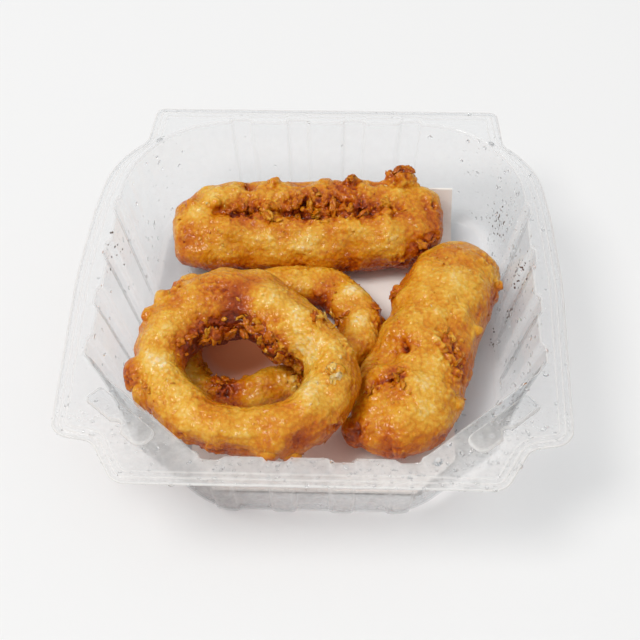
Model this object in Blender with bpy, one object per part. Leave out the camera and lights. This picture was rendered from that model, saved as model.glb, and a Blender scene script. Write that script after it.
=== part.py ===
"""Fried calamari in the clear base of a hinged takeaway box.

Metres, +Z up. The origin is under the middle of the box's base. +Y runs to the hinge tab at the back,
and +X is to the right of someone who looks at it from the front.
"""
import math

import bmesh
import bpy
from mathutils import Matrix, Vector, noise

# Box: clear thermoformed sheet
RIM_HEIGHT = 0.038  # top of the rim over the table
SHEET = 0.0006
LIP_WIDTH = 0.0024  # the low lip round the outer edge
LIP_STEP = 0.0005  # width of the step up from the lip
LIP_DROP = 0.0004  # how far the lip lies under the rim
SHOULDER = 0.0010  # rounding from the rim into the wall
FLOOR_ROUND = 0.0040  # height of the rounding from the wall into the floor
FLUTE_FLAT, FLUTE_SLOPE, FLUTE_DEPTH = 0.0050, 0.0020, 0.0016
FLUTE_PITCH = 0.0186
SIDE_FLUTES = (0.0310, 0.0118, -0.0074, -0.0266)  # along each side
SIDE_WALL_X = 0.0668

# Outlines of the right half, from the back to the front: x, y and corner radius
RIM_CORNERS = (
    (0.0570, 0.0765, 0.0025),
    (0.0588, 0.0605, 0.0050),
    (0.0693, 0.0515, 0.0320),
    (0.0728, 0.0280, 0.1500),
    (0.0750, 0.0000, 0.1600),
    (0.0750, -0.0600, 0.0060),
    (0.0626, -0.0622, 0.0050),
    (0.0552, -0.0765, 0.0065),
)
WALL_CORNERS = (
    (0.0635, 0.0700, 0.0340),
    (0.0672, -0.0326, 0.0080),
    (0.0315, -0.0660, 0.0100),
)
FLOOR_CORNERS = (
    (0.0550, 0.0620, 0.0140),
    (0.0570, -0.0360, 0.0080),
    (0.0300, -0.0595, 0.0220),
)
# The raised catch on each front corner, in its own frame: along the corner's diagonal, and inwards
CATCH_CORNERS = (
    (0.0000, 0.0000, 0.0030),
    (0.0250, 0.0000, 0.0015),
    (0.0250, -0.0066, 0.0015),
    (0.0135, -0.0066, 0.0012),
    (0.0108, -0.0046, 0.0012),
    (0.0085, -0.0076, 0.0012),
    (0.0000, -0.0076, 0.0034),
)
CATCH_PLACE, CATCH_TURN = (0.0435, -0.0595), math.radians(42.4)
CATCH_HEIGHT = 0.0012

# Absorbent pad on the floor. It narrows towards its front end, and its back end stands up against the
# wall.
GAP = 0.0003
PAD_LEFT, PAD_RIGHT, PAD_THICK = -0.0385, 0.0430, 0.0010
PAD_TIP, PAD_TIP_HALF, PAD_SHOULDERS = -0.0530, 0.0310, -0.0405
PAD_BEND, PAD_BEND_RADIUS = 0.0532, 0.0080
PAD_LEAN, PAD_UPSTAND, PAD_STEPS = math.radians(74), 0.0085, 6

# Batter relief on every piece of food
LUMP_SIZE, LUMP_HEIGHT = 0.0085, 0.00080
BUMP_SIZE, BUMP_HEIGHT = 0.0038, 0.00035
CRUMB_SINK, CRUMB_ROUGH = 0.35, 0.30  # shares of its radius
LARGE_CRUMB = 0.0040

# Rings. Each row of eight goes round from the right over the back: how far out the tube's middle
# lies, half the tube's width, half its height, and the height of its middle. A crumb is degrees round
# the ring, degrees over its tube, its radius and, if it isn't the usual, the share of it that is sunk.
RING_FRONT = {
    "at": (-0.0206, -0.0227, 0.0237),
    "turn": (math.radians(3), 0.0, 0.0),
    "out": (0.0253, 0.0182, 0.0235, 0.0267, 0.0274, 0.0251, 0.0239, 0.0262),
    "wide": (0.0079, 0.0099, 0.0116, 0.0109, 0.0075, 0.0075, 0.0069, 0.0084),
    "high": (0.0080, 0.0093, 0.0105, 0.0100, 0.0077, 0.0075, 0.0073, 0.0083),
    "lift": (0.0, 0.0, 0.0, 0.0, 0.0, 0.0, 0.0, 0.0),
    "crumbs": (
        (186, -3, 0.0066), (199, -12, 0.0042),
        (152, 22, 0.0034), (141, 26, 0.0037), (131, 28, 0.0034),
        (124, 10, 0.0044),
        (33, 55, 0.0020),
        (348, 70, 0.0022),
        (62, 168, 0.0026), (47, 176, 0.0024), (34, 160, 0.0020),
        (37, 200, 0.0026), (27, 206, 0.0030), (17, 222, 0.0025),
        (128, 196, 0.0028),
        (284, -12, 0.0034), (296, -30, 0.0034),
    ),
    "seed": 1,
}
RING_BEHIND = {
    "at": (-0.0165, -0.0003, 0.0088),
    "turn": (0.0, 0.0, 0.0),
    "out": (0.0294, 0.0293, 0.0219, 0.0253, 0.0269, 0.0290, 0.0195, 0.0205),
    "wide": (0.0069, 0.0073, 0.0067, 0.0068, 0.0065, 0.0058, 0.0061, 0.0055),
    "high": (0.0056, 0.0058, 0.0060, 0.0060, 0.0058, 0.0054, 0.0055, 0.0054),
    "lift": (0.0, 0.0, 0.0, 0.0, 0.0, 0.0, 0.0, 0.0),
    "crumbs": (
        (14, -5, 0.0020),
        (48, 140, 0.0018), (34, 186, 0.0019),
        (306, 120, 0.0019),
        (252, 150, 0.0020),
    ),
    "seed": 2,
}
RING_POINTS, TUBE_POINTS = 54, 16

# Closed-up rings, whose two sides have fried together. Each row of seven goes along the piece: half
# its width, half its height, and how far its middle bends aside. blunt squares the ends. A seam is
# degrees round the piece, its depth, half its width in degrees, then its middle and half its length
# as shares of the piece. A crumb is degrees along the piece, degrees round it, and its radius.
RING_BACK = {
    "at": (-0.0056, 0.0451, 0.0142),
    "turn": (math.radians(16), 0.0, math.radians(4.6)),
    "length": 0.0898,
    "blunt": 3.6,
    "wide": (0.0160, 0.0162, 0.0159, 0.0161, 0.0162, 0.0162, 0.0158),
    "high": (0.0096, 0.0101, 0.0103, 0.0103, 0.0103, 0.0101, 0.0098),
    "bend": (-0.0012, 0.0010, 0.0011, -0.0007, -0.0006, -0.0010, 0.0),
    "seams": ((80, 0.0042, 17, 0.50, 0.42), (262, 0.0020, 17, 0.50, 0.40)),
    "crumbs": (
        (122, 23, 0.0049, 0.0), (129, 28, 0.0034),
        (140, 212, 0.0030),
        (62, 66, 0.0026), (74, 92, 0.0022),
        (84, 70, 0.0028), (91, 94, 0.0022),
        (101, 68, 0.0026), (112, 90, 0.0022),
        (97, 40, 0.0026),
        (76, 34, 0.0024), (86, 30, 0.0032), (92, 24, 0.0026), (99, 28, 0.0030),
        (41, 50, 0.0028),
    ),
    "seed": 3,
}
STICK_RIGHT = {
    "at": (0.0344, -0.0044, 0.0130),
    "turn": (0.0, 0.0, math.radians(69.8)),
    "length": 0.0864,
    "blunt": 2.9,
    "wide": (0.0172, 0.0179, 0.0171, 0.0151, 0.0155, 0.0168, 0.0162),
    "high": (0.0105, 0.0110, 0.0112, 0.0112, 0.0112, 0.0110, 0.0105),
    "bend": (0.0, -0.0018, -0.0005, 0.0000, 0.0008, 0.0012, 0.0),
    "seams": ((50, 0.0034, 26, 0.34, 0.07), (62, 0.0016, 12, 0.50, 0.04), (270, 0.0015, 17, 0.50, 0.40)),
    "crumbs": (
        (104, 4, 0.0038), (31, -20, 0.0050),
        (70, 165, 0.0026), (82, 170, 0.0020), (95, 160, 0.0026),
        (128, 175, 0.0024),
    ),
    "seed": 4,
}
ROLL_STATIONS, ROLL_POINTS = 32, 26
LEAST_HALF = 0.0020  # half height under which a seam grows no deeper


def clear_scene():
    for old in list(bpy.data.objects):
        bpy.data.objects.remove(old, do_unlink=True)


def material(name, colour, roughness, alpha=1.0):
    made = bpy.data.materials.new(name)
    made.use_nodes = True
    shader = made.node_tree.nodes["Principled BSDF"]
    shader.inputs["Base Color"].default_value = (*colour, 1.0)
    shader.inputs["Roughness"].default_value = roughness
    shader.inputs["Metallic"].default_value = 0.0
    shader.inputs["Alpha"].default_value = alpha
    return made


def add_object(name, shape, finish=None, closed=True):
    """An object from a bmesh. A closed body gets its faces turned outwards."""
    if closed:
        bmesh.ops.recalc_face_normals(shape, faces=shape.faces)
    mesh = bpy.data.meshes.new(name)
    shape.to_mesh(mesh)
    shape.free()
    mesh.shade_smooth()
    if finish:
        mesh.materials.append(finish)
    made = bpy.data.objects.new(name, mesh)
    bpy.context.scene.collection.objects.link(made)
    return made


def skin(rings, around=True, ends=None):
    """A surface over rings of points. around joins the last ring to the first, and ends closes both
    outer rings: with one face each, or with a fan to each of two given points."""
    shape = bmesh.new()
    rows = [[shape.verts.new(point) for point in ring] for ring in rings]
    pairs = list(zip(rows, rows[1:] + rows[:1])) if around else list(zip(rows, rows[1:]))
    for low, high in pairs:
        for i in range(len(low)):
            j = (i + 1) % len(low)
            shape.faces.new((low[i], low[j], high[j], high[i]))
    if ends == "faces":
        shape.faces.new(rows[0])
        shape.faces.new(rows[-1])
    elif ends:
        for row, tip in zip((rows[0], rows[-1]), ends):
            pole = shape.verts.new(tip)
            for i in range(len(row)):
                shape.faces.new((row[i], row[(i + 1) % len(row)], pole))
    return shape


def bake_modifiers(made):
    """Gives the object the mesh that its modifiers make, and removes them."""
    seen = made.evaluated_get(bpy.context.evaluated_depsgraph_get())
    baked = bpy.data.meshes.new_from_object(seen)
    made.modifiers.clear()
    old, made.data = made.data, baked
    bpy.data.meshes.remove(old)
    baked.name = made.name


def combine(body, bits, operation):
    """One Boolean of all bits on the body, applied. The bits are removed afterwards."""
    group = bpy.data.collections.new(body.name + "_bits")
    bpy.context.scene.collection.children.link(group)
    for bit in bits:
        group.objects.link(bit)
    boolean = body.modifiers.new("combine", "BOOLEAN")
    boolean.operation = operation
    boolean.operand_type = "COLLECTION"
    boolean.collection = group
    bake_modifiers(body)
    for bit in bits:
        bpy.data.objects.remove(bit, do_unlink=True)
    bpy.data.collections.remove(group)


def both_halves(corners):
    """A right half's corners with the left half's after them, clockwise from above."""
    return corners + tuple((-x, y, radius) for x, y, radius in reversed(corners))


def rounded(corners, inset=0.0, per_arc=4):
    """Points of a closed clockwise outline with round corners. inset moves every side inwards."""
    places = [Vector((x, y)) for x, y, _ in corners]
    count = len(corners)
    ways = [(places[(i + 1) % count] - places[i]).normalized() for i in range(count)]
    points = []
    for i in range(count):
        before, after = ways[i - 1], ways[i]
        turn = math.atan2(before.cross(after), before.dot(after))
        right_before, right_after = (Vector((way.y, -way.x)) for way in (before, after))
        inside = (right_before + right_after) / (1 + right_before.dot(right_after))
        bend = -1 if turn < 0 else 1
        radius = max(corners[i][2] + bend * inset, 0.0003)
        start = places[i] + inside * inset - before * radius * math.tan(abs(turn) / 2)
        centre = start - right_before * bend * radius
        points += [
            centre + Matrix.Rotation(turn * step / per_arc, 2) @ (start - centre)
            for step in range(per_arc + 1)
        ]
    return points


def reach(outline, angle):
    """How far out the outline lies in the direction of angle, from the middle of the box."""
    way = Vector((math.cos(angle), math.sin(angle)))
    side = Vector((-way.y, way.x))
    farthest = 0.0
    for a, b in zip(outline, outline[1:] + outline[:1]):
        across_a, across_b = a.dot(side), b.dot(side)
        if across_a * across_b <= 0 and across_a != across_b:
            farthest = max(farthest, a.lerp(b, across_a / (across_a - across_b)).dot(way))
    return farthest


def flute_places():
    """Where flutes meet the top of the wall, each with the direction along the wall."""
    row = [(i - 1.5) * FLUTE_PITCH for i in range(4)]
    ends = [(Vector((x, WALL_CORNERS[end][1])), Vector((1, 0))) for x in row for end in (0, -1)]
    sides = [
        (Vector((sign * SIDE_WALL_X, y)), Vector((0, 1))) for sign in (1, -1) for y in SIDE_FLUTES
    ]
    return ends + sides


def flute_share(point, flutes):
    """1 on a flute's flat, falling to 0 over its slope."""
    away = min((point - flute).length for flute, _ in flutes)
    return min(max((FLUTE_FLAT / 2 + FLUTE_SLOPE - away) / FLUTE_SLOPE, 0.0), 1.0)


def spoke_angles(flutes):
    """Directions in which every ring of the box has a point: at its corners and its flutes."""
    edges = [
        flute + along * sign * offset
        for flute, along in flutes
        for sign in (1, -1)
        for offset in (FLUTE_FLAT / 2 - 0.0001, FLUTE_FLAT / 2 + FLUTE_SLOPE)
    ]
    angles = [math.atan2(p.y, p.x) for p in edges]
    marks = []
    for corners, per_arc in ((RIM_CORNERS, 3), (WALL_CORNERS, 4), (FLOOR_CORNERS, 2)):
        marks += rounded(both_halves(corners), per_arc=per_arc)
    least = math.radians(1.2)
    for angle in [math.atan2(p.y, p.x) for p in marks]:
        if min(abs(angle - other) for other in angles) > least:
            angles.append(angle)
    return sorted(angles)


def make_tray(finish):
    """The box's base, from its lip over the rim and down the fluted wall to the floor."""
    flutes = flute_places()
    angles = spoke_angles(flutes)
    ways = [Vector((math.cos(angle), math.sin(angle))) for angle in angles]
    rim, wall, floor = (both_halves(c) for c in (RIM_CORNERS, WALL_CORNERS, FLOOR_CORNERS))
    tops = [reach(rounded(wall), angle) for angle in angles]
    feet = [reach(rounded(floor), angle) for angle in angles]
    shares = [flute_share(way * top, flutes) for way, top in zip(ways, tops)]

    def rim_ring(inset, height):
        line = rounded(rim, inset)
        return [Vector((*(way * reach(line, a)), height)) for way, a in zip(ways, angles)]

    def wall_ring(down, height, flute):
        """down is 0 at the top of the wall and 1 at its foot."""
        return [
            Vector((*(way * (top + (foot - top) * down + flute * share)), height))
            for way, top, foot, share in zip(ways, tops, feet, shares)
        ]

    low = SHEET + FLOOR_ROUND
    lip = RIM_HEIGHT - LIP_DROP
    rings = [
        rim_ring(0.0, lip),
        rim_ring(LIP_WIDTH, lip),
        rim_ring(LIP_WIDTH + LIP_STEP, RIM_HEIGHT),
        wall_ring(-0.03, RIM_HEIGHT, FLUTE_DEPTH * 0.5),
        wall_ring(0.03, RIM_HEIGHT - SHOULDER, FLUTE_DEPTH * 0.8),
        wall_ring(0.50, RIM_HEIGHT / 2, FLUTE_DEPTH),
        wall_ring(1 - low / RIM_HEIGHT, low, FLUTE_DEPTH),
        wall_ring(0.99, SHEET + FLOOR_ROUND * 0.3, FLUTE_DEPTH * 0.7),
        wall_ring(1.12, SHEET, 0.0),
    ]
    shape = skin(rings, around=False)
    shape.verts.ensure_lookup_table()
    shape.faces.new([shape.verts[i] for i in range(-len(angles), 0)])
    bmesh.ops.recalc_face_normals(shape, faces=shape.faces)
    if shape.faces[-1].normal.z < 0:
        bmesh.ops.reverse_faces(shape, faces=shape.faces)
    tray = add_object("tray", shape, finish, closed=False)
    thick = tray.modifiers.new("sheet", "SOLIDIFY")
    thick.thickness = SHEET
    thick.offset = -1.0
    thick.use_even_offset = True
    combine(tray, [catch(sign, 0.0, -SHEET / 2, CATCH_HEIGHT) for sign in (1, -1)], "UNION")
    hollow = [catch(sign, SHEET, -2 * SHEET, CATCH_HEIGHT - SHEET) for sign in (1, -1)]
    combine(tray, hollow, "DIFFERENCE")
    tray.data.shade_smooth()
    tray.data.set_sharp_from_angle(angle=math.radians(35))
    return tray


def catch(sign, inset, bottom, top):
    """A raised catch's block on a front corner, with its bottom and top over the rim."""
    turned = Matrix.Rotation(CATCH_TURN, 2)
    line = [turned @ point + Vector(CATCH_PLACE) for point in rounded(CATCH_CORNERS, inset, 3)]
    rings = [[(sign * p.x, p.y, RIM_HEIGHT + z) for p in line] for z in (bottom, top)]
    block = add_object("catch", skin(rings, around=False, ends="faces"))
    block.hide_render = True
    block.display_type = "WIRE"
    return block


def make_pad(finish):
    """The pad, flat from its narrow front end, then bent up the back wall."""
    under = SHEET + GAP
    stations = [(PAD_TIP, under, 0.0), (PAD_SHOULDERS, under, 0.0)]
    for step in range(PAD_STEPS + 1):
        lean = PAD_LEAN * step / PAD_STEPS
        y = PAD_BEND + PAD_BEND_RADIUS * math.sin(lean)
        stations.append((y, under + PAD_BEND_RADIUS * (1 - math.cos(lean)), lean))
    y, z, lean = stations[-1]
    stations.append((y + PAD_UPSTAND * math.cos(lean), z + PAD_UPSTAND * math.sin(lean), lean))
    rings = []
    for y, z, lean in stations:
        left, right = (-PAD_TIP_HALF, PAD_TIP_HALF) if y == PAD_TIP else (PAD_LEFT, PAD_RIGHT)
        top_y, top_z = y - PAD_THICK * math.sin(lean), z + PAD_THICK * math.cos(lean)
        rings.append(((left, y, z), (right, y, z), (right, top_y, top_z), (left, top_y, top_z)))
    pad = add_object("pad", skin(rings, around=False, ends="faces"), finish)
    pad.data.set_sharp_from_angle(angle=math.radians(30))
    return pad


def smooth_between(before, low, high, after, t):
    """A Catmull-Rom curve from low to high."""
    slope_low, slope_high = (high - before) / 2, (after - low) / 2
    rise = high - low
    return (
        low
        + slope_low * t
        + (3 * rise - 2 * slope_low - slope_high) * t**2
        + (slope_low + slope_high - 2 * rise) * t**3
    )


def read_round(row, angle):
    """A value from a row that is spread evenly round a full turn."""
    place = angle / math.tau % 1.0 * len(row)
    i = int(place)
    return smooth_between(*(row[(i + k) % len(row)] for k in (-1, 0, 1, 2)), place - i)


def read_along(row, share):
    """A value from a row that is spread evenly from share 0 to share 1."""
    place = min(max(share, 0.0), 1.0) * (len(row) - 1)
    i = min(int(place), len(row) - 2)
    last = len(row) - 1
    return smooth_between(row[max(i - 1, 0)], row[i], row[i + 1], row[min(i + 2, last)], place - i)


def batter(point, seed):
    """How far the batter stands out at a point: broad lumps with smaller bumps on them."""
    shift = Vector((7.3, 3.1, 5.7)) * seed
    lumps = noise.noise(point / LUMP_SIZE + shift)
    bumps = noise.noise(point / BUMP_SIZE - shift)
    return lumps * LUMP_HEIGHT + bumps * BUMP_HEIGHT


def ring_point(piece, around, over):
    """A point of a ring and the way out of it. over is 0 on the outside and a quarter turn on top."""
    way = Vector((math.cos(around), math.sin(around), 0.0))
    middle = way * read_round(piece["out"], around)
    middle.z = read_round(piece["lift"], around)
    wide, high = (read_round(piece[row], around) for row in ("wide", "high"))
    up = Vector((0.0, 0.0, 1.0))
    point = middle + way * wide * math.cos(over) + up * high * math.sin(over)
    out = (way * math.cos(over) * high + up * math.sin(over) * wide).normalized()
    return point + out * batter(point, piece["seed"]), out


def roll_point(piece, along, around):
    """A point of a closed-up ring and the way out of it. along runs from 0 to half a turn from its
    left tip to its right tip. around is 0 on the side away from the bend, and a quarter turn on top."""
    blunt = 2 / piece["blunt"]
    forward, spread = -math.cos(along), abs(math.sin(along)) ** blunt
    x = math.copysign(abs(forward) ** blunt, forward)
    share = (x + 1) / 2
    wide, high = (read_along(piece[row], share) * spread for row in ("wide", "high"))
    for angle, depth, half, middle, length in piece["seams"]:
        off = (around - math.radians(angle) + math.pi) % math.tau - math.pi
        share_off = (share - middle) / length
        deep = depth * spread * math.exp(-((off / math.radians(half)) ** 2) - share_off**4)
        cut = 1 - deep / max(high, LEAST_HALF)
        wide, high = wide * cut, high * cut
    point = Vector(
        (
            x * piece["length"] / 2,
            read_along(piece["bend"], share) + wide * math.cos(around),
            high * math.sin(around),
        )
    )
    out = Vector((x * (1 - spread), math.cos(around) * spread, math.sin(around) * spread))
    out.normalize()
    return point + out * batter(point, piece["seed"]), out


def crumb(place, out, seed, radius, sink=CRUMB_SINK):
    """A rough lump of batter that sticks out of a piece."""
    shape = bmesh.new()
    fineness = 2 if radius > LARGE_CRUMB else 1
    bmesh.ops.create_icosphere(shape, subdivisions=fineness, radius=radius)
    for vert in shape.verts:
        vert.co *= 1 + CRUMB_ROUGH * noise.noise(vert.co / radius + Vector((seed, 0.4, -seed)))
        vert.co += place - out * radius * sink
    return add_object("crumb", shape)


def finish_food(name, shape, piece, crumbs, finish):
    """Fuses a piece's crumbs to it and puts it in its place."""
    body = add_object(name, shape, finish)
    if crumbs:
        combine(body, crumbs, "UNION")
        body.data.shade_smooth()
    body.location = piece["at"]
    return body


def make_ring(name, piece, finish):
    rings = [
        [
            ring_point(piece, math.tau * i / RING_POINTS, math.tau * j / TUBE_POINTS)[0]
            for j in range(TUBE_POINTS)
        ]
        for i in range(RING_POINTS)
    ]
    crumbs = [
        crumb(*ring_point(piece, math.radians(around), math.radians(over)), around, *size)
        for around, over, *size in piece["crumbs"]
    ]
    body = finish_food(name, skin(rings), piece, crumbs, finish)
    body.rotation_euler = piece["turn"]
    return body


def make_roll(name, piece, finish):
    steps = [math.pi * (i + 0.5) / ROLL_STATIONS for i in range(ROLL_STATIONS)]
    rings = [
        [roll_point(piece, along, math.tau * j / ROLL_POINTS)[0] for j in range(ROLL_POINTS)]
        for along in steps
    ]
    tips = [
        Vector((sign * piece["length"] / 2, read_along(piece["bend"], share), 0.0))
        for sign, share in ((-1, 0.0), (1, 1.0))
    ]
    crumbs = [
        crumb(*roll_point(piece, math.radians(along), math.radians(around)), along, *size)
        for along, around, *size in piece["crumbs"]
    ]
    body = finish_food(name, skin(rings, around=False, ends=tips), piece, crumbs, finish)
    body.rotation_euler = piece["turn"]
    return body


clear_scene()
clear_sheet = material("clear_sheet", (0.80, 0.84, 0.86), 0.06, alpha=0.35)
pad_paper = material("pad_paper", (0.86, 0.85, 0.83), 0.80)
fried_batter = material("fried_batter", (0.72, 0.42, 0.12), 0.45)
make_tray(clear_sheet)
make_pad(pad_paper)
make_ring("ring_front", RING_FRONT, fried_batter)
make_ring("ring_behind", RING_BEHIND, fried_batter)
make_roll("ring_back", RING_BACK, fried_batter)
make_roll("stick_right", STICK_RIGHT, fried_batter)
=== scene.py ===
import math
import random

import bmesh
import bpy
import numpy as np
from mathutils import Matrix, Vector, noise
from mathutils.bvhtree import BVHTree


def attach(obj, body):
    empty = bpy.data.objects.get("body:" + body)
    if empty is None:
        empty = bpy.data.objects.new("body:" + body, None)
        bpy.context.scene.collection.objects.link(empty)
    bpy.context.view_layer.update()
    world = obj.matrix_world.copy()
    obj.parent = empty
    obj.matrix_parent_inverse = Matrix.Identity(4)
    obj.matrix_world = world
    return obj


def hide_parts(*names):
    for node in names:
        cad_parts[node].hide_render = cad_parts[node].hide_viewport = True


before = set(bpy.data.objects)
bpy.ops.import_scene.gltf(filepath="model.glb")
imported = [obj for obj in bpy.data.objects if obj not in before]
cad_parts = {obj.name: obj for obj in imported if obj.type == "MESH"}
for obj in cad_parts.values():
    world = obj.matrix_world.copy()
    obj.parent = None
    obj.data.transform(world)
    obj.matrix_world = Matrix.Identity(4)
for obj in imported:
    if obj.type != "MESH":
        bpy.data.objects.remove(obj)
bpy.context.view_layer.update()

# The view: someone stands at the table and looks down into the open box from its front, a little
# from the right. The lens is long, so the box keeps its proportions.
IMAGE_SIDE, FOCAL_PIXELS, SENSOR_MM = 640, 1700, 36.0
CAMERA_PLACE = Vector((0.01949, -0.3446, 0.4305))
LOOK_DOWN, LOOK_LEFT, CAMERA_ROLL = math.radians(50.0), math.radians(3.2), math.radians(-1.5)

level_turn = Matrix.Rotation(LOOK_LEFT, 3, "Z")
forward = level_turn @ Vector((0.0, math.cos(LOOK_DOWN), -math.sin(LOOK_DOWN)))
level_right = level_turn @ Vector((1.0, 0.0, 0.0))
level_up = level_right.cross(forward)
view_right = level_right * math.cos(CAMERA_ROLL) + level_up * math.sin(CAMERA_ROLL)
view_up = level_up * math.cos(CAMERA_ROLL) - level_right * math.sin(CAMERA_ROLL)
lens = bpy.data.cameras.new("view")
lens.sensor_width = SENSOR_MM
lens.lens = SENSOR_MM * FOCAL_PIXELS / IMAGE_SIDE
lens.clip_start = 0.01
viewer = bpy.data.objects.new("view", lens)
camera_turn = Matrix((view_right, view_up, -forward)).transposed().to_4x4()
viewer.matrix_world = Matrix.Translation(CAMERA_PLACE) @ camera_turn
bpy.context.scene.collection.objects.link(viewer)
bpy.context.scene.camera = viewer


def sight_line(px, py):
    """The direction from the camera through a pixel of the photograph."""
    across, up = (px - IMAGE_SIDE / 2) / FOCAL_PIXELS, (IMAGE_SIDE / 2 - py) / FOCAL_PIXELS
    return (forward + view_right * across + view_up * up).normalized()


# The table: a pale matt floor that carries the box's soft shadow. One broad softbox stands far off at
# the left, a little to the front, and the room gives an even light that is dimmer at the horizon.
FLOOR_COLOUR, FLOOR_SIDE, FLOOR_DROP = "F0F0F0", 4.0, 0.0002
PAINT_GRAINS = 900.0  # to the metre
SOFTBOX_WAY, SOFTBOX_AWAY = Vector((-0.457, -0.183, 0.869)), 4.0
SOFTBOX_SIDE, SOFTBOX_WATTS, SOFTBOX_COLOUR = 1.56, 80.0, "FFFEFC"
HORIZON, HORIZON_LEVEL, ZENITH, ZENITH_LEVEL, ROOM_STRENGTH = "B4B8BC", 0.05, "FFFFFF", 0.85, 0.72


def colour(hex_text):
    """An sRGB hex colour as the linear colour that a shader takes."""
    parts = [int(hex_text[i : i + 2], 16) / 255 for i in (0, 2, 4)]
    return (*[p / 12.92 if p <= 0.04045 else ((p + 0.055) / 1.055) ** 2.4 for p in parts], 1.0)


def join(tree, node, **links):
    """Sets a node's inputs. A link is an input, by its name or by _ and its number, with a socket to join
    to it or a value."""
    for key, value in links.items():
        socket = node.inputs[int(key[1:])] if key[1:].isdigit() else node.inputs[key.replace("_", " ")]
        if isinstance(value, bpy.types.NodeSocket):
            tree.links.new(value, socket)
        else:
            socket.default_value = value


def add(tree, kind, settings=None, **links):
    """A new node with its settings and links."""
    node = tree.nodes.new(kind)
    for key, value in (settings or {}).items():
        setattr(node, key, value)
    join(tree, node, **links)
    return node


def start_material(name):
    """A new material, its node tree and its principled shader."""
    made = bpy.data.materials.new(name)
    made.use_nodes = True
    return made, made.node_tree, made.node_tree.nodes["Principled BSDF"]


def piece_from(shape, name, material):
    """An object at the origin from a bmesh."""
    mesh = bpy.data.meshes.new(name)
    shape.to_mesh(mesh)
    shape.free()
    mesh.shade_smooth()
    mesh.materials.append(material)
    made = bpy.data.objects.new(name, mesh)
    bpy.context.scene.collection.objects.link(made)
    return made


tabletop, tree, shader = start_material("matt white painted board")
grain = add(tree, "ShaderNodeTexNoise", Scale=PAINT_GRAINS, Detail=2.0)
fine = add(tree, "ShaderNodeBump", Height=grain.outputs["Fac"], Strength=0.03, Distance=0.0002)
join(tree, shader, Normal=fine.outputs["Normal"], Base_Color=colour(FLOOR_COLOUR))
join(tree, shader, Roughness=0.80, Specular_IOR_Level=0.1)
board = bmesh.new()
bmesh.ops.create_grid(board, x_segments=1, y_segments=1, size=FLOOR_SIDE / 2)
bmesh.ops.translate(board, verts=board.verts, vec=(0, 0, -FLOOR_DROP))
piece_from(board, "floor", tabletop)

softbox = bpy.data.lights.new("softbox", "AREA")
softbox.size, softbox.energy = SOFTBOX_SIDE, SOFTBOX_WATTS
softbox.color = colour(SOFTBOX_COLOUR)[:3]
stand = bpy.data.objects.new("softbox", softbox)
stand.location = SOFTBOX_WAY * SOFTBOX_AWAY
stand.rotation_euler = (-SOFTBOX_WAY).to_track_quat("-Z", "Y").to_euler()
bpy.context.scene.collection.objects.link(stand)

room = bpy.data.worlds.new("room")
bpy.context.scene.world = room
room.use_nodes = True
sky = room.node_tree
height = add(sky, "ShaderNodeSeparateXYZ", Vector=add(sky, "ShaderNodeTexCoord").outputs["Generated"])
fade = add(sky, "ShaderNodeValToRGB", Fac=height.outputs["Z"])
fade.color_ramp.elements[0].color = colour(HORIZON)
fade.color_ramp.elements[0].position = HORIZON_LEVEL
fade.color_ramp.elements[1].color = colour(ZENITH)
fade.color_ramp.elements[1].position = ZENITH_LEVEL
join(sky, sky.nodes["Background"], Color=fade.outputs["Color"], Strength=ROOM_STRENGTH)
bpy.context.scene.view_settings.view_transform = "Standard"

# The box base: one sheet of clear PET, drawn by vacuum into a mould. From its cut edge it runs over a
# stiffening bead and the flat rim, and down fluted walls to the floor.
RIM_HEIGHT, SHEET, FLOOR_TOP = 0.038, 0.0005, 0.0006
FLUTE_HALF, FLUTE_SLOPE, FLUTE_DEPTH, FLUTE_PITCH = 0.0025, 0.0018, 0.0015, 0.0186
SIDE_FLUTES, SIDE_WALL_X = (0.0310, 0.0118, -0.0074, -0.0266), 0.0668
SHOULDER_RADIUS, FOOT_RADIUS, FOOT_INWARD = 0.0012, 0.0040, 0.0024
FLUTE_AT_RIM, FLUTE_AT_FLOOR = 0.9, 0.1  # shares of the flutes' depth where the wall's bends end
BEND_STEPS, WALL_STEPS, FLOOR_RINGS = 6, 8, (0.97, 0.80, 0.55)
# Outlines of the right half, from the back to the front: x, y and corner radius
RIM_CORNERS = (
    (0.0570, 0.0765, 0.0025),
    (0.0588, 0.0605, 0.0050),
    (0.0693, 0.0515, 0.0320),
    (0.0728, 0.0280, 0.1500),
    (0.0750, 0.0000, 0.1600),
    (0.0750, -0.0600, 0.0060),
    (0.0626, -0.0622, 0.0050),
    (0.0552, -0.0765, 0.0065),
)
WALL_CORNERS = ((0.0635, 0.0700, 0.0340), (0.0672, -0.0326, 0.0080), (0.0315, -0.0660, 0.0100))
FLOOR_CORNERS = ((0.0550, 0.0620, 0.0140), (0.0570, -0.0360, 0.0080), (0.0300, -0.0595, 0.0220))
SPOKES = 760
# The rim from its cut edge inwards, in mm: inset, height over the rim, and how much painted highlight
# whitens the sheet there, in bright lines along its cut edge and bead
RIM_PROFILE = (
    (0.90, -0.90, 0.08), (0.25, -0.85, 0.34), (0.00, -0.50, 0.78), (0.25, -0.18, 0.56), (0.70, -0.30, 0.05),
    (1.60, -0.40, 0.00), (1.90, -0.28, 0.06), (2.20, -0.05, 0.46), (2.50, -0.12, 0.20), (2.80, -0.18, 0.02),
    (3.50, -0.16, 0.00), (3.75, -0.06, 0.05), (4.05, 0.06, 0.38), (4.35, -0.02, 0.12), (4.70, -0.04, 0.00),
)
# RIM_MIST is the rim's faint mist. The other three are painted highlights: white lines along the flutes'
# sides and the wall's top and foot bends.
RIM_MIST, FLUTE_HIGHLIGHT, SHOULDER_HIGHLIGHT, FOOT_HIGHLIGHT = 0.04, 0.16, 0.25, 0.12
RIM_NEEDS = 0.0066  # width that the profile and the shoulder take up, closer together where it is less


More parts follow.
